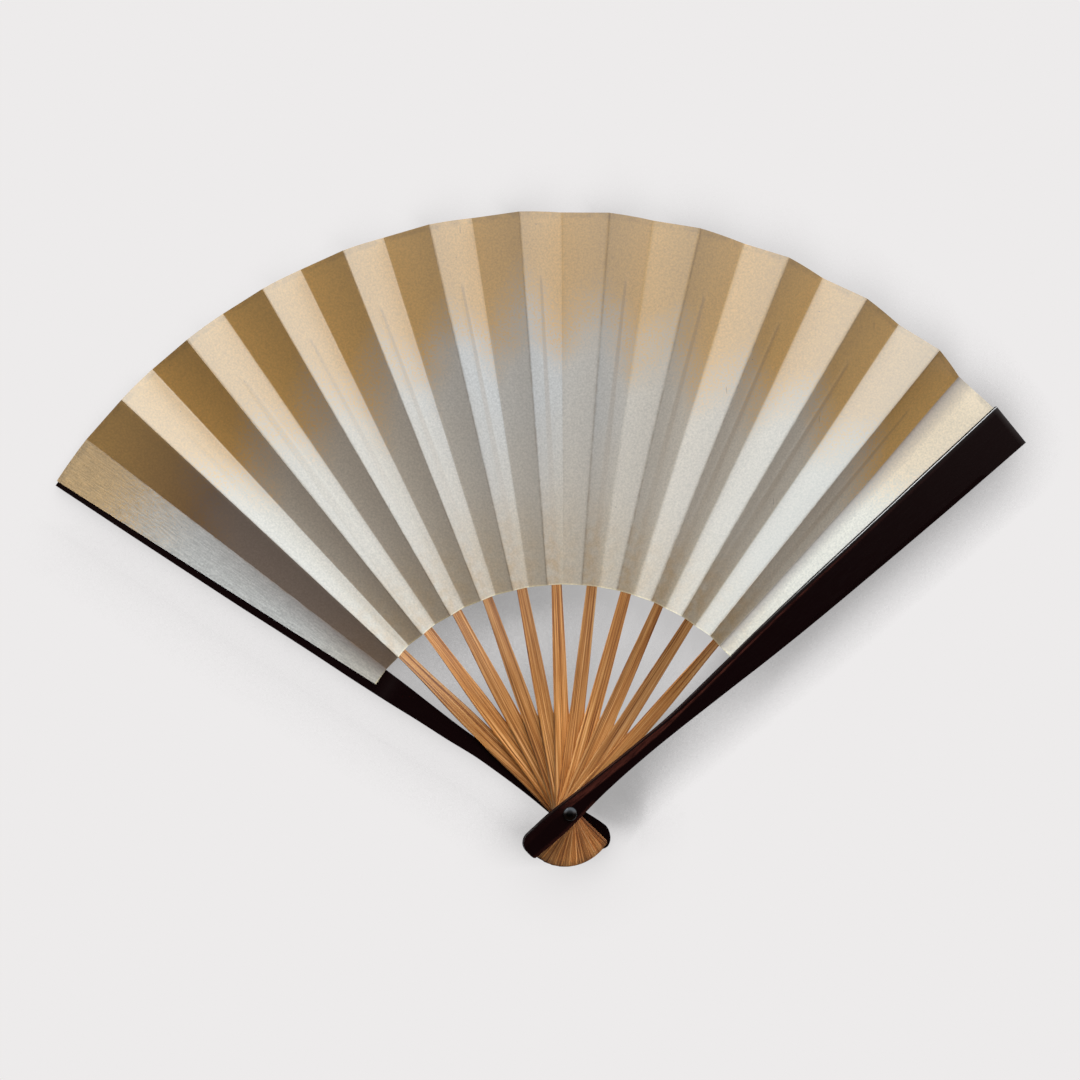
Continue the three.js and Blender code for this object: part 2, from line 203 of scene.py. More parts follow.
def washi_paper(
    name, mountain=0, stain=0.0, ribbed=False, darkening=None, darkened_across=None, brushed=False,
    silver="#B2A798", border=0.184, fade=0.046, crease_darkness=0.35,
):
    """Washi paper dusted with pearl and metal powder, gold at the rim and silver inside. The flakes' titanium
    coat gives panels that face the light a broad white gloss; single flakes give a fine grain, and mix where gold
    meets silver. Silver reaches further out at mountain folds, the left edge if mountain is -1 and the right if 1.
    Stain is the brown of glue at the inner edge. A ribbed panel gets a line of painted shade along the ridge over
    its rib. Darkening is a brown laid over a band of radii: two radii and the amount at each; darkened across is
    the share of the width where it begins and is full. Brushed paper is streaked. Gold begins at the border, a
    radius, and fades in. Crease darkness is how dark the brown broken line on one crease, a mountain or the glued
    strip's, is drawn."""
    material, tree = new_material(name)
    place = add(tree, "TexCoord").node
    spot = place.outputs["Object"]
    flat = add(tree, "VectorMath", {0: spot, 1: (1, 1, 0)}, operation="MULTIPLY")
    radius = add(tree, "VectorMath", {0: flat}, operation="LENGTH", output="Value")
    across = add(tree, "SeparateXYZ", {0: place.outputs["UV"]})
    off_middle = add(tree, "Math", {0: across, 1: 0.5}, operation="SUBTRACT")
    width = add(tree, "Math", {0: radius, 1: 2 * math.sin(PANEL_HALF)}, operation="MULTIPLY")

    # Flakes 0.9 mm across, coarser than real powder so that they show; mottle and clouds of brushed colour
    grain = add(tree, "TexNoise", {"Vector": spot, "Scale": 1 / 0.0009, "Detail": 2.0, "Roughness": 0.6})
    mottle = add(tree, "TexNoise", {"Vector": flat, "Scale": 1 / 0.0045, "Detail": 2.0})
    cloud = add(tree, "TexNoise", {"Vector": flat, "Scale": 1 / 0.045, "Detail": 3.0, "Roughness": 0.55})

    # Gold share by radius: the border wanders by some 10 mm, lies further out in the middle of the leaf, and
    # fades over some 45 mm grain by grain
    wander = add(tree, "MapRange", {"Value": cloud, 1: 0.25, 2: 0.75, 3: -0.010, 4: 0.010})
    edge = add(tree, "Math", {0: radius, 1: wander}, operation="ADD")
    edge = add(tree, "Math", {0: off_middle, 1: -0.018 * mountain, 2: edge}, operation="MULTIPLY_ADD")
    sideways = add(tree, "SeparateXYZ", {0: spot})
    sideways = add(tree, "Math", {0: sideways}, operation="ABSOLUTE")
    further = add(
        tree, "MapRange", {"Value": sideways, 1: 0.015, 2: 0.075, 3: 0.010, 4: 0.0}, interpolation_type=SMOOTH
    )
    edge = add(tree, "Math", {0: edge, 1: further}, operation="SUBTRACT")
    ramp = add(tree, "MapRange", {"Value": edge, 1: border, 2: border + fade}, interpolation_type=SMOOTH)
    speckle = add(tree, "MapRange", {"Value": grain, 1: 0.3, 2: 0.7, 3: -2.2, 4: 2.2})
    rest = add(tree, "Math", {0: 1.0, 1: ramp}, operation="SUBTRACT")
    between = add(tree, "Math", {0: ramp, 1: rest}, operation="MULTIPLY")
    ruffle = add(tree, "Math", {0: speckle, 1: between}, operation="MULTIPLY")
    gold_share = add(tree, "Math", {0: ruffle, 1: ramp}, operation="ADD", use_clamp=True)

    # Silver is a little cooler in a patch left of the middle
    away = add(tree, "VectorMath", {0: flat, 1: (-0.013, 0.198, 0)}, operation="DISTANCE", output="Value")
    away = add(tree, "Math", {0: away, 1: wander}, operation="ADD")
    cooled = 0.8 if ribbed else 0.35
    cool = add(tree, "MapRange", {"Value": away, 1: 0.075, 2: 0.012, 4: cooled}, interpolation_type=SMOOTH)
    silver = add(tree, "Mix", {0: cool, 6: linear(silver), 7: linear("#AEB0B1")}, data_type="RGBA", output=2)
    gold = add(tree, "Mix", {0: cloud, 6: linear("#B28842"), 7: linear("#B98F4C")}, data_type="RGBA", output=2)
    colour = add(tree, "Mix", {0: gold_share, 6: silver, 7: gold}, data_type="RGBA", output=2)
    # Mixed towards cream by the panel's paleness: on the last panel a painted sheen
    pale = add(tree, "Attribute", attribute_name="panel_paleness", output="Fac")
    colour = add(tree, "Mix", {0: pale, 6: colour, 7: linear("#E8E4D4")}, data_type="RGBA", output=2)

    # Age: yellowed towards the inner edge, brown where glue came through, a cream line where the edge is cut
    yellow = add(
        tree, "MapRange", {"Value": radius, 1: 0.150, 2: 0.103, 3: 0.0, 4: 0.35}, interpolation_type=SMOOTH
    )
    colour = add(tree, "Mix", {0: yellow, 6: colour, 7: linear("#B09D7C")}, data_type="RGBA", output=2)
    seep = add(
        tree, "MapRange", {"Value": radius, 1: 0.150, 2: 0.104, 3: 0.0, 4: stain}, interpolation_type=SMOOTH
    )
    blotch = add(tree, "MapRange", {"Value": mottle, 1: 0.36, 2: 0.62, 3: 0.1, 4: 1.0})
    side = add(tree, "MapRange", {"Value": off_middle, 1: 0.35, 2: -0.05, 3: 0.35, 4: 1.0})
    for share in (blotch, side):
        seep = add(tree, "Math", {0: seep, 1: share}, operation="MULTIPLY")
    colour = add(tree, "Mix", {0: seep, 6: colour, 7: linear("#A98245")}, data_type="RGBA", output=2)
    cut = add(tree, "MapRange", {"Value": radius, 1: 0.1017, 2: 0.1012, 3: 0.0, 4: 0.75})
    colour = add(tree, "Mix", {0: cut, 6: colour, 7: linear("#DCCBA0")}, data_type="RGBA", output=2)
    # A brown laid over a band of radii: on the glued strips and on the last panel it is painted shade along a
    # valley
    if darkening:
        near, far, near_amount, far_amount = darkening
        darkened = add(tree, "MapRange", {"Value": radius, 1: near, 2: far, 3: near_amount, 4: far_amount})
        if darkened_across:
            begin, full = darkened_across
            sided = add(tree, "MapRange", {"Value": across, 1: begin, 2: full})
            darkened = add(tree, "Math", {0: darkened, 1: sided}, operation="MULTIPLY")
        colour = add(tree, "Mix", {0: darkened, 6: colour, 7: linear("#4B2C1C")}, data_type="RGBA", output=2)

    # Brown broken lines on the creases, and over a rib a line of painted shade along the ridge, sharpest at the
    # rib's end
    broken = add(tree, "MapRange", {"Value": mottle, 1: 0.38, 2: 0.6, 3: 0.15, 4: 1.0})
    inset = across
    if mountain >= 0:
        inset = add(tree, "Math", {0: 1.0, 1: across}, operation="SUBTRACT")
    from_crease = add(tree, "Math", {0: inset, 1: width}, operation="MULTIPLY")
    crease = add(tree, "MapRange", {"Value": from_crease, 1: 0.0007, 2: 0.0001, 3: 0.0, 4: crease_darkness})
    crease = add(tree, "Math", {0: crease, 1: broken}, operation="MULTIPLY")
    colour = add(tree, "Mix", {0: crease, 6: colour, 7: linear("#7A5A38")}, data_type="RGBA", output=2)
    # Painted shade of the ridge over the rib: a darker line that ends at the blade's end, deeper towards the rim
    if ribbed:
        from_rib = add(tree, "Attribute", attribute_name="from_rib", output="Fac")
        from_rib = add(tree, "Math", {0: from_rib}, operation="ABSOLUTE")
        blade = add(tree, "MapRange", {"Value": radius, 1: 0.165, 2: 0.235, 3: 0.0012, 4: 0.00045})
        beyond = add(tree, "Math", {0: from_rib, 1: blade}, operation="SUBTRACT")
        ridge_shade = add(tree, "MapRange", {"Value": beyond, 1: 0.0006, 2: -0.0002}, interpolation_type=SMOOTH)
        depth = add(tree, "MapRange", {"Value": radius, 1: 0.15, 2: 0.233, 3: 0.12, 4: 0.48})
        ended = add(tree, "MapRange", {"Value": radius, 1: 0.2365, 2: 0.2390, 3: 1.0, 4: 0.0})
        shown = add(tree, "Attribute", attribute_name="rib_ridge_shade", output="Fac")
        for share in (depth, ended, shown):
            ridge_shade = add(tree, "Math", {0: ridge_shade, 1: share}, operation="MULTIPLY")
        colour = add(tree, "Mix", {0: ridge_shade, 6: colour, 7: linear("#80633E")}, data_type="RGBA", output=2)

    # Tone: single flakes, the panel's own painted light and shade, lighter towards the valley fold as painted light
    # thrown back by the next panel, a handled band along the rim
    tone = add(tree, "MapRange", {"Value": grain, 1: 0.3, 2: 0.7, 3: 0.82, 4: 1.18})
    own = add(tree, "Attribute", attribute_name="panel_painted_light", output="Fac")
    valley_light = add(tree, "Math", {0: off_middle, 1: -0.28 * mountain, 2: 1.0}, operation="MULTIPLY_ADD")
    hem = add(tree, "MapRange", {"Value": radius, 1: 0.2640, 2: 0.2650, 3: 0.0, 4: 0.2})
    hem = add(tree, "Math", {0: hem, 1: broken}, operation="MULTIPLY")
    hem = add(tree, "Math", {0: 1.0, 1: hem}, operation="SUBTRACT")
    for share in (own, valley_light, hem):
        tone = add(tree, "Math", {0: tone, 1: share}, operation="MULTIPLY")
    height = grain
    if brushed:
        # Streaks of paper brushed down along the rear guard, 0.8 mm wide and 5 mm long
        strokes = add(
            tree, "Mapping", {0: spot, "Rotation": (0, 0, bones[0]["azimuth"]), "Scale": (0.0008, 0.005, 1)},
            vector_type="TEXTURE",
        )
        streak = add(tree, "TexNoise", {"Vector": strokes, "Scale": 1.0, "Detail": 2.0, "Distortion": 0.3})
        shine = add(tree, "MapRange", {"Value": streak, 1: 0.3, 2: 0.7, 3: 0.84, 4: 1.16})
        tone = add(tree, "Math", {0: tone, 1: shine}, operation="MULTIPLY")
        height = add(tree, "Math", {0: streak, 1: 2.0, 2: grain}, operation="MULTIPLY_ADD")
    colour = add(tree, "VectorMath", {0: colour, "Scale": tone}, operation="SCALE")

    # Strays of dark bark left in the paper: specks under 1 mm and a few hairs 3 mm long
    speck = add(tree, "TexVoronoi", {"Vector": flat, "Scale": 1 / 0.032}, voronoi_dimensions="2D").node
    few = add(tree, "SeparateXYZ", {0: speck.outputs["Color"]})
    size = add(tree, "MapRange", {"Value": few, 1: 0.5, 2: 1.0, 3: 0.0, 4: 0.012})
    dark = add(tree, "Math", {0: speck.outputs["Distance"], 1: size}, operation="LESS_THAN")
    bent = add(tree, "Mapping", {0: flat, "Rotation": (0, 0, 0.4), "Scale": (1, 0.12, 1)})
    hair = add(tree, "TexVoronoi", {"Vector": bent, "Scale": 1 / 0.022}, voronoi_dimensions="2D").node
    some = add(tree, "SeparateXYZ", {0: hair.outputs["Color"]})
    size = add(tree, "MapRange", {"Value": some, 1: 0.6, 2: 0.7, 3: 0.0, 4: 0.009})
    thin = add(tree, "Math", {0: hair.outputs["Distance"], 1: size}, operation="LESS_THAN")
    stray = add(tree, "Math", {0: dark, 1: thin}, operation="MAXIMUM")
    stray = add(tree, "Math", {0: stray, 1: 0.5}, operation="MULTIPLY")
    colour = add(tree, "Mix", {0: stray, 6: colour, 7: linear("#3A2A1A")}, data_type="RGBA", output=2)

    relief = add(tree, "Bump", {"Height": height, "Strength": 0.25, "Distance": 0.00012})
    shader = add(tree, "BsdfPrincipled", {"Base Color": colour, "Roughness": 0.42, "IOR": 2.5, "Normal": relief})
    add(tree, "OutputMaterial", {0: shader})
    return material


def split_bamboo():
    """Stained split bamboo, scraped and waxed: straight dark fibre lines along the rib under a soft gloss, painted
    shade on the shaded side where ribs lie on each other, painted light on the root where they overlap, and at the
    tail dark at the end and lighter at the sides, a painted highlight of edges that catch the light."""
    material, tree = new_material("split_bamboo_stained")
    seed = add(tree, "Attribute", attribute_name="rib_seed", output="Fac")
    # UV holds centimetres across the rib and along it from the tail
    part = add(tree, "SeparateXYZ", {0: add(tree, "TexCoord", output="UV")}).node
    across = add(tree, "Math", {0: part.outputs[0], 1: 15.0}, operation="MULTIPLY")
    along = add(tree, "Math", {0: part.outputs[1], 1: 0.10}, operation="MULTIPLY")
    line = add(tree, "CombineXYZ", {0: across, 1: along, 2: seed})
    # Fibre bundles 0.6 mm wide and some 80 mm long, with finer lines between, and a slow change of stain
    fibre = add(tree, "TexNoise", {"Vector": line, "Scale": 1.2, "Detail": 5.0, "Roughness": 0.8})
    band = add(tree, "TexNoise", {"Vector": line, "Scale": 0.25, "Detail": 1.0})
    ramp = add(tree, "ValToRGB", {0: fibre}).node
    stops = [(0.38, "#643410"), (0.46, "#9E6029"), (0.54, "#BA7F43"), (0.63, "#D3A06A")]
    while len(ramp.color_ramp.elements) < len(stops):
        ramp.color_ramp.elements.new(0.5)
    for element, (position, colour) in zip(ramp.color_ramp.elements, stops):
        element.position = position
        element.color = linear(colour)
    tone = add(tree, "MapRange", {"Value": band, 1: 0.3, 2: 0.7, 3: 0.88, 4: 1.1})
    # Painted light: paler at the root, where the ribs lie on each other and shade it
    root_light = add(tree, "MapRange", {"Value": part.outputs[1], 1: 6.5, 2: 8.5, 3: 1.2, 4: 1.0})
    stub = add(tree, "MapRange", {"Value": part.outputs[1], 1: 2.0, 2: 3.2, 3: 0.78, 4: 1.0})
    end = add(tree, "Math", {0: fibre, 1: 0.5, 2: part.outputs[1]}, operation="MULTIPLY_ADD")
    end = add(tree, "MapRange", {"Value": end, 1: 0.2, 2: 0.55, 3: 0.5, 4: 1.0})
    shaded = add(tree, "Attribute", attribute_name="from_shaded", output="Fac")
    shaded = add(tree, "MapRange", {"Value": shaded, 1: 0.0002, 2: 0.0008, 3: 0.35, 4: 1.0})
    # Painted highlight: the tail's sides are lighter where their edges catch the light
    edge_highlight = add(tree, "Attribute", attribute_name="from_lit_edge", output="Fac")
    edge_highlight = add(tree, "MapRange", {"Value": edge_highlight, 1: 0.0002, 2: 0.0006, 3: 1.55, 4: 1.0})
    own = add(tree, "Attribute", attribute_name="rib_tone", output="Fac")
    for share in (end, root_light, stub, shaded, edge_highlight, own):
        tone = add(tree, "Math", {0: tone, 1: share}, operation="MULTIPLY")
    colour = add(tree, "VectorMath", {0: ramp.outputs[0], "Scale": tone}, operation="SCALE")
    relief = add(tree, "Bump", {"Height": fibre, "Strength": 0.4, "Distance": 0.0002})
    shader = add(tree, "BsdfPrincipled", {"Base Color": colour, "Roughness": 0.45, "Normal": relief})
    add(tree, "OutputMaterial", {0: shader})
    return material


def black_lacquer(name, shine, roughness):
    """Black lacquer over wood: deep and glossy, rubbed by hands to red-brown streaks beside the front guard's left
    edge, wide at the root and a line further out, and along the right edge of its tail. Shine is its specular
    level; the sides, which are not polished, shine less and are rougher."""
    material, tree = new_material(name)
    place = add(tree, "TexCoord").node
    along = add(tree, "SeparateXYZ", {0: place.outputs["UV"]}, output=1)
    # UV holds centimetres across the guard and along it; streaks are 1 mm wide and 8 mm long
    line = add(tree, "VectorMath", {0: place.outputs["UV"], 1: (10, 1.2, 0)}, operation="MULTIPLY")
    streak = add(tree, "TexNoise", {"Vector": line, "Scale": 1.0, "Detail": 3.0, "Roughness": 0.6})
    rubbed = add(tree, "MapRange", {"Value": streak, 1: 0.38, 2: 0.62, 3: 0.35, 4: 1.0})
    left = add(tree, "Attribute", attribute_name="from_left", output="Fac")
    begin = add(tree, "MapRange", {"Value": along, 1: 4.5, 2: 7.5, 3: 0.0005, 4: 0.0012})
    stop = add(tree, "MapRange", {"Value": along, 1: 4.0, 2: 7.0, 3: 0.0038, 4: 0.0027})
    within = add(tree, "Math", {0: left, 1: begin}, operation="SUBTRACT")
    within = add(tree, "MapRange", {"Value": within, 1: 0.0, 2: 0.0004}, interpolation_type=SMOOTH)
    short = add(tree, "Math", {0: stop, 1: left}, operation="SUBTRACT")
    short = add(tree, "MapRange", {"Value": short, 1: 0.0, 2: 0.0009}, interpolation_type=SMOOTH)
    faded = add(tree, "MapRange", {"Value": along, 1: 9.0, 2: 24.0, 3: 1.0, 4: 0.0})
    tail = add(tree, "MapRange", {"Value": along, 1: -0.6, 2: 1.0, 3: 0.05, 4: 1.0}, interpolation_type=SMOOTH)
    band = within
    for share in (short, tail, faded):
        band = add(tree, "Math", {0: band, 1: share}, operation="MULTIPLY")
    right = add(tree, "Attribute", attribute_name="from_right", output="Fac")
    right = add(tree, "MapRange", {"Value": right, 1: 0.0003, 2: 0.0016, 3: 0.55, 4: 0.0})
    worn = add(tree, "Math", {0: band, 1: right}, operation="MAXIMUM")
    worn = add(tree, "Math", {0: worn, 1: rubbed}, operation="MULTIPLY")
    colour = add(tree, "Mix", {0: worn, 6: linear("#0F0405"), 7: linear("#47221B")}, data_type="RGBA", output=2)
    gloss = add(tree, "MapRange", {"Value": streak, 1: 0.3, 2: 0.7, 3: roughness - 0.035, 4: roughness + 0.035})
    shader = add(tree, "BsdfPrincipled", {"Base Color": colour, "Roughness": gloss, "Specular IOR Level": shine})
    add(tree, "OutputMaterial", {0: shader})
    return material


def blackened_steel():
    """Polished blackened steel: a dark mirror with fine scuffs."""
    material, tree = new_material("blackened_steel")
    spot = add(tree, "TexCoord", output="Object")
    scuff = add(tree, "TexNoise", {"Vector": spot, "Scale": 1 / 0.0006, "Detail": 3.0})
    gloss = add(tree, "MapRange", {"Value": scuff, 1: 0.3, 2: 0.7, 3: 0.14, 4: 0.24})
    shader = add(tree, "BsdfPrincipled", {"Base Color": linear("#38383A"), "Metallic": 1.0, "Roughness": gloss})
    add(tree, "OutputMaterial", {0: shader})
    return material


def studio_paper():
    """Matt pale paper roll under the fan. It is seen as a plain backdrop that darkens beside the fan's raised
    parts, on the side away from the window, and only a little where the fan lies on it, so that the shadow stays
    soft and pale."""
    material, tree = new_material("studio_paper")
    matt = {"Base Color": linear("#F0EDEC"), "Roughness": 0.9, "Specular IOR Level": 0.0}
    shader = add(tree, "BsdfPrincipled", matt)
    lean = add(tree, "CombineXYZ", dict(enumerate(SHADOW_LEAN)))
    near = add(tree, "AmbientOcclusion", {"Distance": 0.016, "Normal": lean}, samples=8, output="AO")
    far = add(tree, "AmbientOcclusion", {"Distance": 0.038, "Normal": lean}, samples=8, output="AO")
    raised = add(tree, "Math", {0: near, 1: far}, operation="SUBTRACT", use_clamp=True)
    spot = add(tree, "TexCoord", output="Object")
    reach = add(tree, "VectorMath", {0: spot}, operation="LENGTH", output="Value")
    along = add(tree, "SeparateXYZ", {0: spot}, output=1)
    beside = add(tree, "MapRange", {"Value": along, 1: -0.026, 2: -0.008, 3: 0.15, 4: 1.0})
    for share in (near, beside):
        raised = add(tree, "Math", {0: raised, 1: share}, operation="MULTIPLY")
    lying = add(tree, "MapRange", {"Value": near, 1: 0.0, 2: 1.0, 3: 1 - LYING_SHADOW, 4: 1.0})
    bright = add(tree, "Math", {0: raised, 1: -RAISED_SHADOW, 2: lying}, operation="MULTIPLY_ADD")
    bright = add(tree, "Math", {0: bright, 1: DARKEST_BESIDE}, operation="MAXIMUM")
    # Between the ribs the floor is darker on the left, where the fan lies lower, and lighter on the right; beyond
    # the rim's middle, on the window's side, it is lighter too
    inside = add(tree, "MapRange", {"Value": reach, 1: 0.170, 2: 0.102}, interpolation_type=SMOOTH)
    clear = add(tree, "MapRange", {"Value": reach, 1: 0.020, 2: 0.050}, interpolation_type=SMOOTH)
    heading = add(tree, "VectorMath", {0: spot}, operation="NORMALIZE")
    heading = add(tree, "SeparateXYZ", {0: heading}).node
    within = add(tree, "MapRange", {"Value": heading.outputs[1], 1: 0.60, 2: 0.66})
    for share in (clear, within):
        inside = add(tree, "Math", {0: inside, 1: share}, operation="MULTIPLY")
    low = add(tree, "MapRange", {"Value": heading.outputs[0], 1: -0.6, 2: 0.4, 3: 0.5, 4: -0.3})
    low = add(tree, "Math", {0: low, 1: inside, 2: 1.0}, operation="MULTIPLY_ADD")
    rim = add(tree, "MapRange", {"Value": reach, 1: 0.250, 2: 0.262, 3: 0.0, 4: 0.5})
    facing = add(tree, "MapRange", {"Value": heading.outputs[1], 1: 0.65, 2: 0.85})
    rim = add(tree, "Math", {0: rim, 1: facing}, operation="MULTIPLY")
    low = add(tree, "Math", {0: low, 1: rim}, operation="SUBTRACT")
    dark = add(tree, "Math", {0: 1.0, 1: bright}, operation="SUBTRACT")
    dark = add(tree, "Math", {0: dark, 1: low}, operation="MULTIPLY")
    bright = add(tree, "Math", {0: 1.0, 1: dark}, operation="SUBTRACT")
    bright = add(tree, "Math", {0: bright, 1: DARKEST_BETWEEN}, operation="MAXIMUM")
    plain = add(tree, "Emission", {"Color": linear(BACKDROP), "Strength": bright})
    seen = add(tree, "LightPath", output="Is Camera Ray")
    both = add(tree, "MixShader", {0: seen, 1: shader, 2: plain})
    add(tree, "OutputMaterial", {0: both})
    return material


pocket_paper = washi_paper("washi_gold_silver_pocket", mountain=-1, stain=0.6, ribbed=True)
free_paper = washi_paper("washi_gold_silver_free", mountain=1, stain=0.25)
# Painted shade on the glued strips: brown towards the inner edge and their right side, by the first valley
glued_paper = washi_paper(
    "washi_gold_silver_glued", darkening=(0.11, 0.23, 0.85, 0.1), darkened_across=(0.25, 1.0), brushed=True,
    silver="#B9B7B4", border=0.196, fade=0.066, crease_darkness=0.8,
)
# The second panel is darker brown towards the inner edge
darkened_paper = washi_paper("washi_gold_silver_darkened", mountain=1, stain=0.25, darkening=(0.21, 0.26, 0.7, 0.22))
# Painted shade on the last panel: brown towards its valley on the left
last_paper = washi_paper(
    "washi_gold_silver_last", mountain=1, stain=0.25, darkening=(0.10, 0.27, 0.78, 0.85), darkened_across=(0.42, 0.0)
)
bamboo = split_bamboo()
lacquer = black_lacquer("black_lacquer_polished", 0.5, 0.115)
dull_lacquer = black_lacquer("black_lacquer_dull", 0.1, 0.55)
steel = blackened_steel()


# Modelling
def points_of(piece):
    """A piece's vertices in mm."""
    found = np.empty(len(piece.data.vertices) * 3)
    piece.data.vertices.foreach_get("co", found)
    return found.reshape(-1, 3) / MM


def move_points(piece, points):
    piece.data.vertices.foreach_set("co", (points * MM).ravel())
    piece.data.update()


def shaped_grid(name, columns, rows, place):
    """A grid whose vertices place() puts, in mm, from their share across, -1 to 1, and along, 0 to 1."""
    bpy.ops.object.select_all(action="DESELECT")
    bpy.ops.mesh.primitive_grid_add(x_subdivisions=columns, y_subdivisions=rows, size=2)
    piece = bpy.context.object
    piece.name = name
    grid = points_of(piece) * MM
    across, along = grid[:, 0], (grid[:, 1] + 1) / 2
    move_points(piece, place(across, along))
    return piece


def apply_modifier(piece, kind, **settings):
    modifier = piece.modifiers.new(kind.lower(), kind)
    for name, value in settings.items():
        setattr(modifier, name, value)
    bpy.context.view_layer.objects.active = piece
    bpy.ops.object.modifier_apply(modifier=modifier.name)


def soften(piece, width, segments, angle):
    """Bevels the edges that are sharper than an angle in degrees."""
    limit = math.radians(angle)
    apply_modifier(piece, "BEVEL", width=width * MM, segments=segments, limit_method="ANGLE", angle_limit=limit)


def thicken(piece, thickness):
    """Gives a flat sheet the thickness found for each of its vertices, half to each side."""
    least, most = float(thickness.min()), float(thickness.max())
    group = piece.vertex_groups.new(name="thickness")
    for index, share in enumerate((thickness - least) / max(most - least, 0.001)):
        group.add([index], float(share), "REPLACE")
    apply_modifier(
        piece, "SOLIDIFY", thickness=most * MM, offset=0.0,
        vertex_group=group.name, thickness_vertex_group=least / most,
    )
    piece.vertex_groups.clear()


def set_uv(piece, across, along):
    corners = np.empty(len(piece.data.loops), dtype=int)
    piece.data.loops.foreach_get("vertex_index", corners)
    piece.data.uv_layers[0].data.foreach_set("uv", np.stack([across[corners], along[corners]], axis=1).ravel())


def add_attribute(piece, name, values):
    attribute = piece.data.attributes.new(name, "FLOAT", "POINT")
    attribute.data.foreach_set("value", np.asarray(values, dtype=np.float32))


def copy_of(blank, name):
    piece = blank.copy()
    piece.data = blank.data.copy()
    piece.name = name
    bpy.context.scene.collection.objects.link(piece)
    return piece


def discard(blank):
    mesh = blank.data
    bpy.data.objects.remove(blank)
    bpy.data.meshes.remove(mesh)


def finish_piece(piece, material, node, angle):
    piece.data.materials.append(material)
    bpy.ops.object.select_all(action="DESELECT")
    piece.select_set(True)
    bpy.context.view_layer.objects.active = piece
    bpy.ops.object.shade_smooth_by_angle(angle=math.radians(angle))
    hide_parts(node)


# Leaf
LEAF_ROWS = 64
POCKET_COLUMNS = 44
FREE_COLUMNS = 28
# Panels drawn darker or lighter than the rest, painted light and shade; panels mixed towards cream, on the last
# panel a painted sheen; and panels on which the rib's painted shade hardly shows
PANEL_PAINTED_LIGHT = {
    10: 0.98, 11: 1.05, 12: 0.92, 13: 1.04, 14: 0.96, 15: 0.94, 17: 0.95, 20: 0.94, 21: 0.93, 22: 0.74, 23: 1.1,
    24: 1.12,
}
PANEL_PALENESS = {1: 0.1, 24: 0.35}
RIB_RIDGE_SHADE = {3: 0.3, 5: 0.6, 7: 0.8}
# How far right the last ribs' valleys run at the rim
VALLEY_DRIFT = {9: -0.9, 10: -1.2, 11: -2.2}
CREST = 0.13
CREST_REACH = 0.45
# Creases stray up and down in two waves: height, length over 2 pi, and share of the crease's own phase
CREASE_WAVES = [(0.05, 27, 1.0), (0.025, 11, 2.7)]
CREASE_PHASE = 2.399
MOUNTAIN_RISE = 0.06
STRAIGHTER = 0.2
PAPER_HANG = 0.1
BELLY = 0.08
SAG = 0.05
# The part of a free panel's twist that is left out, and what a millimetre of its valley's drift changes that by
TWIST_EASED = 0.5
EASED_BY_DRIFT = 0.13


def rib_line(number, radius):
    """How far right of its panel's middle a rib lies."""
    return np.interp(radius, [0, LEAF_INNER, BLADE_END], [0, RIB_ENTRIES[number - 1], RIB_ENDS[number - 1]])


def guard_side(name, radius, side):
    """How far right of the rivet a guard's side lies: side 0 is its left and 1 its right."""
    places, *sides = zip(*GUARD_SIDES[name])
    return rounded(radius, places, sides[side], GUARD_EASING)


def blade_half(radius):
    return np.interp(radius, RIB_RADII, RIB_WIDTHS) / 2


def panel_blank(name, columns, pocketed):
    """One flat panel, a sector of the leaf along +Y. If pocketed it is raised on both faces over a rib's blade."""

    def place(across, along):
        radius = LEAF_INNER + along * (LEAF_OUTER - LEAF_INNER)
        crowded = np.sign(across) * (1 - (1 - np.abs(across)) ** 1.3)
        x = crowded * radius * math.sin(PANEL_HALF)
        return np.stack([x, np.sqrt(radius**2 - x**2), np.zeros_like(x)], axis=1)

    blank = shaped_grid(name, columns, LEAF_ROWS, place)
    x, radius, share = panel_places(points_of(blank))
    set_uv(blank, share, (radius - LEAF_INNER) / (LEAF_OUTER - LEAF_INNER))
    raised = 1 - smooth(np.abs(x) - blade_half(radius), 0, POCKET_SHOULDER)
    raised *= 1 - smooth(radius, BLADE_END - 1, BLADE_END + 3)
    thicken(blank, SHEET + (POCKET - SHEET) * raised * pocketed)
    if pocketed:
        add_attribute(blank, "from_rib", points_of(blank)[:, 0] * MM)
    return blank


def panel_places(points):
    """Distance across, radius and share across of a flat panel's vertices."""
    radius = np.hypot(points[:, 0], points[:, 1])
    return points[:, 0], radius, (points[:, 0] / (radius * math.sin(PANEL_HALF)) + 1) / 2


def crease_wave(crease, radius):
    """How far a crease strays up or down: even numbers are mountains, which stand higher in the inner half. Next
    to the guards, where the folded sheets lie closest, creases are straighter."""
    phase = CREASE_PHASE * crease
    stray = sum(height * np.sin(radius / length + share * phase) for height, length, share in CREASE_WAVES)
    stray += MOUNTAIN_RISE * (-1) ** crease * (1 - smooth(radius, 170, 250))
    return stray * (STRAIGHTER if crease < 3 or crease > 2 * RIB_COUNT else 1.0)


def crest(share, radius):
    """Rounds a fold off: highest on the crease itself."""
    from_crease = share * 2 * radius * math.sin(PANEL_HALF)
    return CREST * np.exp(-((from_crease / CREST_REACH) ** 2))


def crease_drift(bone_number, radius):
    """How far right a bone's valley runs towards the rim."""
    return VALLEY_DRIFT.get(bone_number, 0) * smooth(radius, 190, LEAF_OUTER)


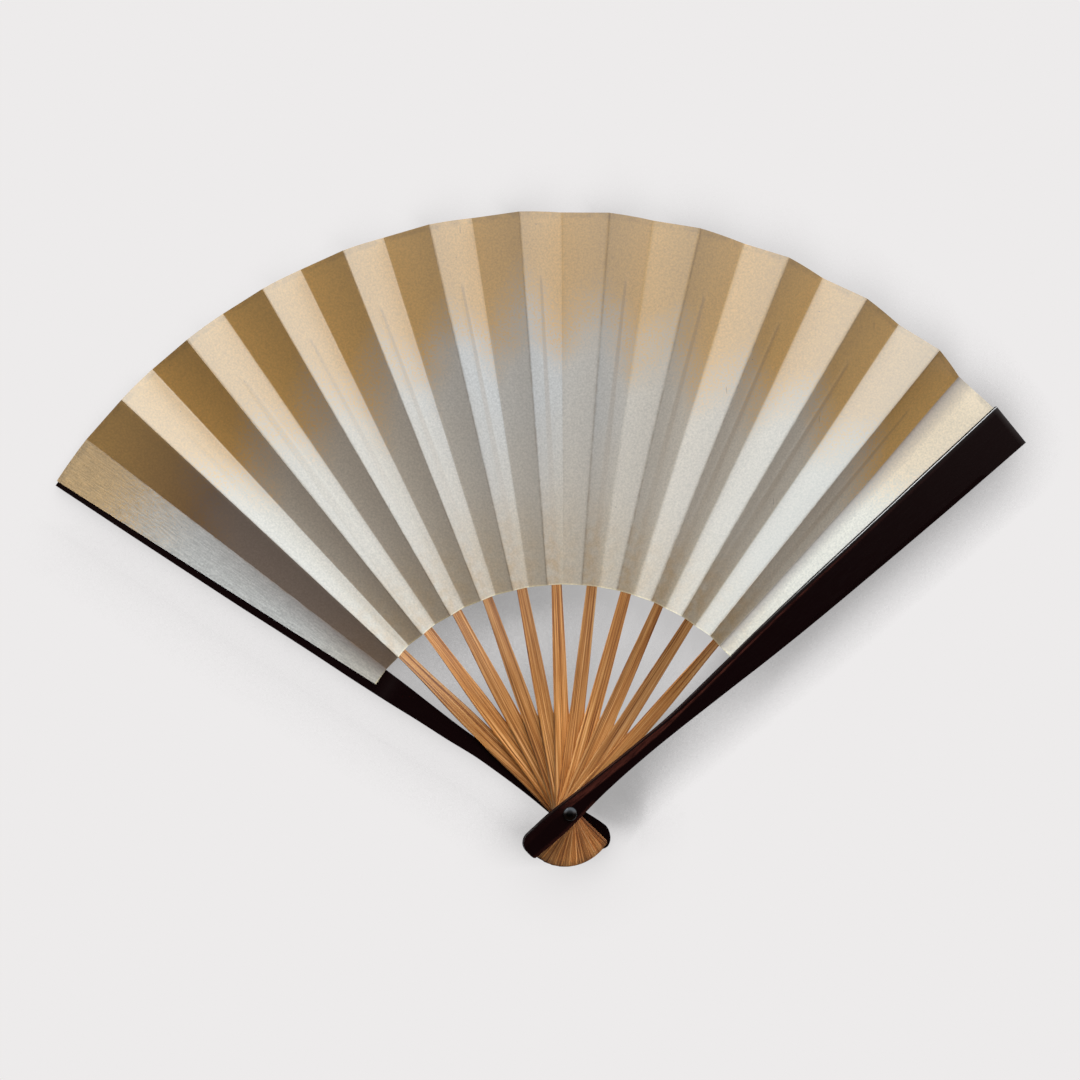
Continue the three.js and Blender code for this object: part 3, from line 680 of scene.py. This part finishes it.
def crease_line(bone_number, side, radius):
    """A crease of the panel on a bone: side -1 is its left edge, a mountain, and 1 its right edge, a valley."""
    bone = bones[bone_number]
    x = side * radius * math.sin(PANEL_HALF) + bone["shift"] + crease_drift(bone_number, radius) * (side > 0)
    points = on_bone(bone, x, radius * math.cos(PANEL_HALF), np.zeros_like(radius), bone["tilt"])
    points[:, 2] += crease_wave(2 * bone_number + (side > 0), radius)
    return points


def paper_fall(number, x, radius):
    """How far the paper round a rib lies above its flat panel: across the panel, and straight up by its creases.
    Beside the rib it hangs towards the valley."""
    edge = radius * math.sin(PANEL_HALF)
    bend = rib_line(number, radius) + blade_half(radius)
    hang = np.where(x < bend, (x + edge) / (bend + edge), (edge - x) / (edge - bend))
    hang *= PAPER_HANG * (1 - smooth(radius, LEAF_INNER, 140))
    left, right = crease_wave(2 * number, radius), crease_wave(2 * number + 1, radius)
    return -hang, left + (right - left) * (x / edge + 1) / 2


def panel_look(panel, panel_number):
    """How much painted light and shade a panel's paper gets, how pale it is, and how far its rib's painted shade
    shows.
    """
    for name, looks, usual in (
        ("panel_painted_light", PANEL_PAINTED_LIGHT, 1.0), ("panel_paleness", PANEL_PALENESS, 0.0), ("rib_ridge_shade", RIB_RIDGE_SHADE, 1.0)
    ):
        add_attribute(panel, name, np.full(len(panel.data.vertices), looks.get(panel_number, usual)))


def bone_panel(blank, number, material):
    """The panel on a bone: a pocket shifted onto its rib, or a strip glued to a guard."""
    bone = bones[number]
    name = f"leaf_panel_{2 * number + 1:02d}"
    panel = copy_of(blank, "washi_" + name)
    points = points_of(panel)
    x, radius, share = panel_places(points)
    edge = radius * math.sin(PANEL_HALF)
    z = points[:, 2]
    rise = crease_wave(2 * number, radius) * (1 - share) + crease_wave(2 * number + 1, radius) * share
    if 0 < number <= RIB_COUNT:
        x = x + rib_line(number, radius) * (1 - (x / edge) ** 2)
        fall, rise = paper_fall(number, x, radius)
        z = z + fall
        x = x + crease_drift(number, radius) * share**2
    elif number:
        right = guard_side("front_guard", radius, 1) - FRONT_MARGIN - FRONT_SHIFT
        x = -edge + share * (np.minimum(edge, right) + edge)
    placed = on_bone(bone, x + bone["shift"], points[:, 1], z, bone["tilt"])
    placed[:, 2] += rise
    if number > 0:
        placed[:, 2] -= crest(share, radius)
    if 0 < number <= RIB_COUNT:
        placed[:, 2] += crest(1 - share, radius)
    move_points(panel, placed)
    panel_look(panel, 2 * number + 1)
    finish_piece(panel, material, name, SHEET_ANGLE)
    bodies = {0: "rear_guard", RIB_COUNT + 1: "front_guard"}
    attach(panel, bodies.get(number, name))


def free_panel(blank, bone_number):
    """The panel between two bones, ruled from crease to crease, with a slight belly and a soft start at its
    valley."""
    name = f"leaf_panel_{2 * bone_number + 2:02d}"
    panel = copy_of(blank, "washi_" + name)
    points = points_of(panel)
    _, radius, share = panel_places(points)
    ended = bone_number in (0, RIB_COUNT)
    belly = 0.0 if ended else BELLY * math.sin(1.9 * bone_number + 0.6)
    sag = 0.0 if ended else SAG
    left, right = crease_line(bone_number, 1, radius), crease_line(bone_number + 1, -1, radius)
    # A panel that runs from a lower bone to a higher one is twisted; a part of the twist is left out, so that the
    # panel lies between its neighbours when the fan is folded
    halfway = np.full(1, middle)
    valley, mountain = crease_line(bone_number, 1, halfway)[0], crease_line(bone_number + 1, -1, halfway)[0]
    slope = (mountain[2] - valley[2]) / np.hypot(*(mountain - valley)[:2])
    untwisted = left[:, 2] + slope * np.hypot(*(right - left)[:, :2].T)
    eased = TWIST_EASED + EASED_BY_DRIFT * VALLEY_DRIFT.get(bone_number, 0)
    right[:, 2] += eased * (untwisted - right[:, 2])
    placed = left + (right - left) * share[:, None]
    outward = crease_line(bone_number, 1, radius + 1) - left
    normal = np.cross(right - left, outward)
    lift = points[:, 2] + belly * np.sin(np.pi * share) * smooth(radius, LEAF_INNER, LEAF_OUTER)
    # Deepest a third of the way from the valley, where 6.75 makes it the full sag
    lift -= sag * 6.75 * share * (1 - share) ** 2
    placed += normal / np.linalg.norm(normal, axis=1)[:, None] * lift[:, None]
    placed[:, 2] += crest(share, radius) * (bone_number > 0) - crest(1 - share, radius)
    move_points(panel, placed)
    panel_look(panel, 2 * bone_number + 2)
    material = {0: darkened_paper, RIB_COUNT: last_paper}.get(bone_number, free_paper)
    finish_piece(panel, material, name, SHEET_ANGLE)
    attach(panel, name)


pocket_blank = panel_blank("pocket_blank", POCKET_COLUMNS, True)
plain_blank = panel_blank("plain_blank", FREE_COLUMNS, False)
bone_panel(plain_blank, 0, glued_paper)
for number in range(1, RIB_COUNT + 1):
    bone_panel(pocket_blank, number, pocket_paper)
bone_panel(plain_blank, RIB_COUNT + 1, glued_paper)
for number in range(RIB_COUNT + 1):
    free_panel(plain_blank, number)
discard(pocket_blank)
discard(plain_blank)


# Ribs
RIB_COLUMNS = 8
RIB_ROWS = 110
TAIL_ROWS = 12
TAIL_ARC = 8.0
RIB_CORNER = 1.1
RIB_EASING = 1.5
# A rib's usual width at its shoulder, the radii over which it widens there and narrows again, and those over which
# the painted shade and the tail's painted edge highlight end
SHOULDER_WIDTH = 6.0
SHOULDER_BEGINS = (20, 46)
SHOULDER_ENDS = (58, 88)
SHADE_ENDS = (44, 52)
EDGE_HIGHLIGHT_ENDS = (-8, 0)
# How much lighter or darker each rib is drawn, and the ribs whose left side is turned from the light
RIB_TONES = [1.05, 1.3, 1.15, 1.0, 1.05, 1.25, 1.0, 1.05, 0.88, 0.75, 0.93]
SHADED_RIBS = 6
FAR_OFF = 9.0


def bone_rows(along, rows, tail, corner, tip):
    """Radii of a bone's rows: close together round the tail's corners."""
    radii = np.concatenate([
        -tail + corner * (1 - np.cos(np.linspace(0, math.pi / 2, TAIL_ROWS))),
        np.linspace(-tail + corner, tip, rows + 2 - TAIL_ROWS)[1:],
    ])
    return np.interp(along, np.linspace(0, 1, rows + 1), radii)


def corner_inset(radius, tail, corner):
    """How much a tail's rounded corner takes off its side."""
    past = np.clip(corner - (radius + tail), 0, corner)
    return corner - np.sqrt(corner**2 - past**2)


def tail_arc(x, radius, tail):
    """Curves a tail's end about the rivet."""
    return (tail - np.sqrt(tail**2 - x**2)) * (1 - smooth(radius, -tail, -tail + TAIL_ARC))


def rib_blank():
    """One flat rib along +Y: a round tail, a shoulder where the ribs part, and a blade pared thin for the leaf."""

    def place(across, along):
        radius = bone_rows(along, RIB_ROWS, RIB_TAIL, RIB_CORNER, BLADE_END)
        half = rounded(radius, RIB_RADII, RIB_WIDTHS, RIB_EASING) / 2 - corner_inset(radius, RIB_TAIL, RIB_CORNER)
        x = across * half
        return np.stack([x, radius + tail_arc(x, radius, RIB_TAIL), np.zeros_like(x)], axis=1)

    blank = shaped_grid("rib_blank", RIB_COLUMNS, RIB_ROWS, place)
    x, radius, _ = points_of(blank).T
    set_uv(blank, x / 10, (radius + RIB_TAIL) / 10)
    thicken(blank, np.interp(radius, RIB_THINNING, [RIB_ROOT_THICKNESS, RIB_BLADE_THICKNESS]))
    soften(blank, RIB_EDGE, 2, 50)
    return blank


def rib(blank, number):
    """A rib on its bone, twisted to its panel's lean before the leaf."""
    bone = bones[number]
    name = f"rib_{number:02d}"
    piece = copy_of(blank, "bamboo_" + name)
    points = points_of(piece)
    x, y, z = points.T
    half = rounded(y, RIB_RADII, RIB_WIDTHS, RIB_EASING) / 2
    shaded = half + x + FAR_OFF * (smooth(y, *SHADE_ENDS) if number <= SHADED_RIBS else 1)
    add_attribute(piece, "from_shaded", shaded * MM)
    add_attribute(piece, "from_lit_edge", (half - np.abs(x) + FAR_OFF * smooth(y, *EDGE_HIGHLIGHT_ENDS)) * MM)
    add_attribute(piece, "rib_tone", np.full(len(points), RIB_TONES[number - 1]))
    wider = RIB_SHOULDERS[number - 1] * smooth(y, *SHOULDER_BEGINS) * (1 - smooth(y, *SHOULDER_ENDS))
    x = x * (1 + wider / SHOULDER_WIDTH) + rib_line(number, y)
    y = np.where(y < 0, y * RIB_TAILS[number - 1] / RIB_TAIL, y)
    in_leaf = smooth(y, LEAF_INNER - 8, LEAF_INNER)
    fall, rise = paper_fall(number, x, np.maximum(y, LEAF_INNER))
    placed = on_bone(bone, x, y, z + fall * in_leaf, bone["tilt"] * smooth(y, *TWIST))
    placed[:, 2] += rise * in_leaf
    move_points(piece, placed)
    add_attribute(piece, "rib_seed", np.full(len(points), 3.7 * number))
    finish_piece(piece, bamboo, name, RIB_ANGLE)
    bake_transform(piece)


blank = rib_blank()
for number in range(1, RIB_COUNT + 1):
    rib(blank, number)
discard(blank)


# Guards
GUARD_COLUMNS = 8
GUARD_ROWS = 100
BEVEL_WIDENS = (120, 180)
RUBBED_TAIL = 12.0
# Up to this radius faces are dull if their normals rise less than the root's share, and beyond it the leaf end's
DULL_ROOT = 120.0
ROOT_RISE = 0.95
LEAF_RISE = 0.3


def guard(name, bone, seat_z, up):
    """A guard: a lacquered blade with bevels round its outer face, wide along the left of its leaf end, and a
    thicker root. Up is 1 if the outer face is on top."""
    tail, tip = -GUARD_SIDES[name][0][0], GUARD_SIDES[name][-1][0]
    left_corner, right_corner = GUARD_CORNERS[name]

    def place(across, along):
        radius = bone_rows(along, GUARD_ROWS, tail, max(left_corner, right_corner), tip)
        left = guard_side(name, radius, 0) + corner_inset(radius, tail, left_corner)
        right = guard_side(name, radius, 1) - corner_inset(radius, tail, right_corner)
        x = left + (right - left) * (across + 1) / 2
        return np.stack([x, radius + tail_arc(x, radius, tail), np.zeros_like(x)], axis=1)

    piece = shaped_grid("lacquer_" + name, GUARD_COLUMNS, GUARD_ROWS, place)
    mesh = piece.data
    bpy.ops.object.mode_set(mode="EDIT")
    bpy.ops.mesh.select_all(action="SELECT")
    bpy.ops.mesh.extrude_region_move(TRANSFORM_OT_translate={"value": (0, 0, GUARD_THICKNESS * MM)})
    bpy.ops.mesh.select_all(action="SELECT")
    bpy.ops.mesh.normals_make_consistent(inside=False)
    bpy.ops.object.mode_set(mode="OBJECT")

    # Bevels round the outer face: edges between a top face and a side face
    beside = {}
    for face in mesh.polygons:
        for key in face.edge_keys:
            beside.setdefault(key, []).append(face.normal.z)
    points = points_of(piece)
    weights = []
    for edge in mesh.edges:
        normals = beside[edge.key]
        rim = max(normals) > 0.5 and abs(min(normals)) < 0.5
        x, y, _ = points[list(edge.vertices)].mean(axis=0)
        wide = smooth(y, *BEVEL_WIDENS) * (x < 0)
        weights.append(rim * (GUARD_ROOT_BEVEL / GUARD_BEVEL * (1 - wide) + wide))
    mesh.attributes.new("bevel_weight_edge", "FLOAT", "EDGE").data.foreach_set("value", weights)
    apply_modifier(piece, "BEVEL", width=GUARD_BEVEL * MM, segments=1, limit_method="WEIGHT")
    mesh.attributes.remove(mesh.attributes["bevel_weight_edge"])

    # The root stands on the rib next to it
    points = points_of(piece)
    seat = points[:, 2] < 0.1
    points[:, 2] -= seat * GUARD_PAD * (1 - smooth(points[:, 1], GUARD_PAD_END - 3, GUARD_PAD_END))
    move_points(piece, points)
    soften(piece, GUARD_EDGE, 2, 25)

    # Where hands rub the front guard: along its left edge, and along the right edge of its tail
    x, y, z = points_of(piece).T
    set_uv(piece, x / 10, y / 10)
    kept = (z < GUARD_THICKNESS * 0.8) | (up < 0)
    from_left, from_right = x - guard_side(name, y, 0), guard_side(name, y, 1) - x
    add_attribute(piece, "from_left", np.where(kept, FAR_OFF, from_left) * MM)
    add_attribute(piece, "from_right", np.where(kept | (y > RUBBED_TAIL), FAR_OFF, from_right) * MM)
    turn = Matrix.Translation((0, 0, seat_z * MM)) @ Matrix.Rotation(bone["azimuth"], 4, "Z")
    mesh.transform(turn @ Matrix.Diagonal((1, 1, up, 1)))
    if up < 0:
        mesh.flip_normals()
    finish_piece(piece, lacquer, name, GUARD_ANGLE)
    mesh.materials.append(dull_lacquer)
    for face in mesh.polygons:
        in_root = face.center.to_2d().length < DULL_ROOT * MM
        face.material_index = int(abs(face.normal.z) < (ROOT_RISE if in_root else LEAF_RISE))
    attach(piece, name)


guard("rear_guard", bones[0], REAR_SEAT_Z, -1)
guard("front_guard", bones[-1], FRONT_SEAT_Z, 1)


# Rivet
def select_faces(piece, wanted):
    bpy.ops.object.mode_set(mode="EDIT")
    bpy.ops.mesh.select_mode(type="FACE")
    bpy.ops.mesh.select_all(action="DESELECT")
    bpy.ops.object.mode_set(mode="OBJECT")
    for face in piece.data.polygons:
        face.select = wanted(face)
    bpy.ops.object.mode_set(mode="EDIT")


def rivet_front():
    """Domed head with a thin lip, on the pin that runs through every bone."""
    bpy.ops.object.select_all(action="DESELECT")
    bpy.ops.mesh.primitive_uv_sphere_add(segments=48, ring_count=24, radius=HEAD_RADIUS * MM)
    piece = bpy.context.object
    piece.name = "steel_rivet_pin"
    bpy.ops.object.mode_set(mode="EDIT")
    bpy.ops.mesh.select_all(action="SELECT")
    bpy.ops.mesh.bisect(plane_co=(0, 0, 0), plane_no=(0, 0, 1), use_fill=True, clear_inner=True)
    bpy.ops.mesh.select_all(action="SELECT")
    bpy.ops.transform.resize(value=(1, 1, (DOME_HEIGHT - DOME_LIP) / HEAD_RADIUS), center_override=(0, 0, 0))
    select_faces(piece, lambda face: face.normal.z < -0.9)
    bpy.ops.mesh.extrude_region_move(TRANSFORM_OT_translate={"value": (0, 0, -DOME_LIP * MM)})
    bpy.ops.mesh.inset(thickness=(HEAD_RADIUS - PIN_RADIUS) * MM, depth=0)
    bpy.ops.mesh.extrude_region_move(TRANSFORM_OT_translate={"value": (0, 0, -(DOME_SEAT_Z - PIN_FOOT_Z) * MM)})
    bpy.ops.mesh.select_all(action="SELECT")
    bpy.ops.mesh.normals_make_consistent(inside=False)
    bpy.ops.object.mode_set(mode="OBJECT")
    soften(piece, DOME_EDGE, 2, 40)
    piece.data.transform(Matrix.Translation((0, 0, (DOME_SEAT_Z + DOME_LIP) * MM)))
    finish_piece(piece, steel, "rivet_pin", RIVET_ANGLE)
    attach(piece, "rear_guard")


def rivet_rear():
    """Flat rear head with a rounded rim and the pin's end hammered into a shallow dish."""
    bpy.ops.object.select_all(action="DESELECT")
    bpy.ops.mesh.primitive_cylinder_add(vertices=48, radius=HEAD_RADIUS * MM, depth=REAR_HEAD_HEIGHT * MM)
    piece = bpy.context.object
    piece.name = "steel_rivet_rear_head"
    piece.data.transform(Matrix.Translation((0, 0, REAR_HEAD_HEIGHT / 2 * MM)))
    select_faces(piece, lambda face: face.normal.z < -0.9)
    bpy.ops.mesh.inset(thickness=DISH_INSET * MM, depth=0)
    bpy.ops.mesh.inset(thickness=DISH_RIM * MM, depth=-DISH_DEPTH * MM)
    bpy.ops.object.mode_set(mode="OBJECT")
    soften(piece, REAR_HEAD_EDGE, 3, 60)
    finish_piece(piece, steel, "rivet_rear_head", RIVET_ANGLE)
    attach(piece, "rear_guard")


rivet_front()
rivet_rear()

# Studio: a pale floor under a wide soft light beyond the rim, dim overhead, dimmer and warmer at the near side
WINDOW = (0.094, 0.996, 0)
WARM_LIGHT = (1, 0.58, 0.38, 1)
COOL_LIGHT = (0.955, 1.07, 1.13, 1)
LAMP_SIDE = (-0.411, 0.892, 0.190)
bpy.ops.object.select_all(action="DESELECT")
bpy.ops.mesh.primitive_plane_add(size=12, location=(0, 0, -0.0003))
floor = bpy.context.object
floor.name = "floor"
floor.data.materials.append(studio_paper())

world = bpy.data.worlds.new("studio")
bpy.context.scene.world = world
world.use_nodes = True
sky = world.node_tree
sky.nodes.clear()
aim = add(sky, "TexCoord", output="Generated")
beyond = add(sky, "VectorMath", {0: aim, 1: WINDOW}, operation="DOT_PRODUCT", output="Value")
overhead = add(sky, "SeparateXYZ", {0: aim}, output=2)
glow = add(sky, "MapRange", {"Value": beyond, 1: -0.013, 2: 0.312, 3: 0.105, 4: 2.7})
dim = add(sky, "MapRange", {"Value": overhead, 1: 0.70, 2: 0.97, 3: 1.0, 4: 0.2}, interpolation_type=SMOOTH)
glow = add(sky, "Math", {0: glow, 1: dim}, operation="MULTIPLY")
coolness = add(sky, "MapRange", {"Value": beyond, 1: -0.47, 2: 0.63}, interpolation_type=SMOOTH)
tint = add(sky, "Mix", {0: coolness, 6: WARM_LIGHT, 7: COOL_LIGHT}, data_type="RGBA", output=2)
light = add(sky, "Background", {"Color": tint, "Strength": glow})
backdrop = add(sky, "Background", {"Color": linear(BACKDROP), "Strength": 1.0})
seen = add(sky, "LightPath", output="Is Camera Ray")
both = add(sky, "MixShader", {0: seen, 1: light, 2: backdrop})
add(sky, "OutputWorld", {0: both})

# A small low lamp on the window's side, for the glint along the front guard's bevel
lamp = bpy.data.lights.new("glint", "SUN")
lamp.energy = 0.36
lamp.angle = math.radians(7)
lamp_object = bpy.data.objects.new("glint", lamp)
bpy.context.scene.collection.objects.link(lamp_object)
lamp_object.rotation_euler = Vector(LAMP_SIDE).to_track_quat("Z", "Y").to_euler()

# Camera, at the photograph's place
camera = bpy.data.cameras.new("camera")
camera.lens = 100
camera.sensor_width = 36
camera_object = bpy.data.objects.new("camera", camera)
bpy.context.scene.collection.objects.link(camera_object)
camera_object.location = (-0.24803, 0.13757, 1.3248)
camera_object.rotation_euler = [math.radians(angle) for angle in (-0.2374, -10.4906, -2.5641)]
bpy.context.scene.camera = camera_object
bpy.context.scene.view_settings.view_transform = "Standard"
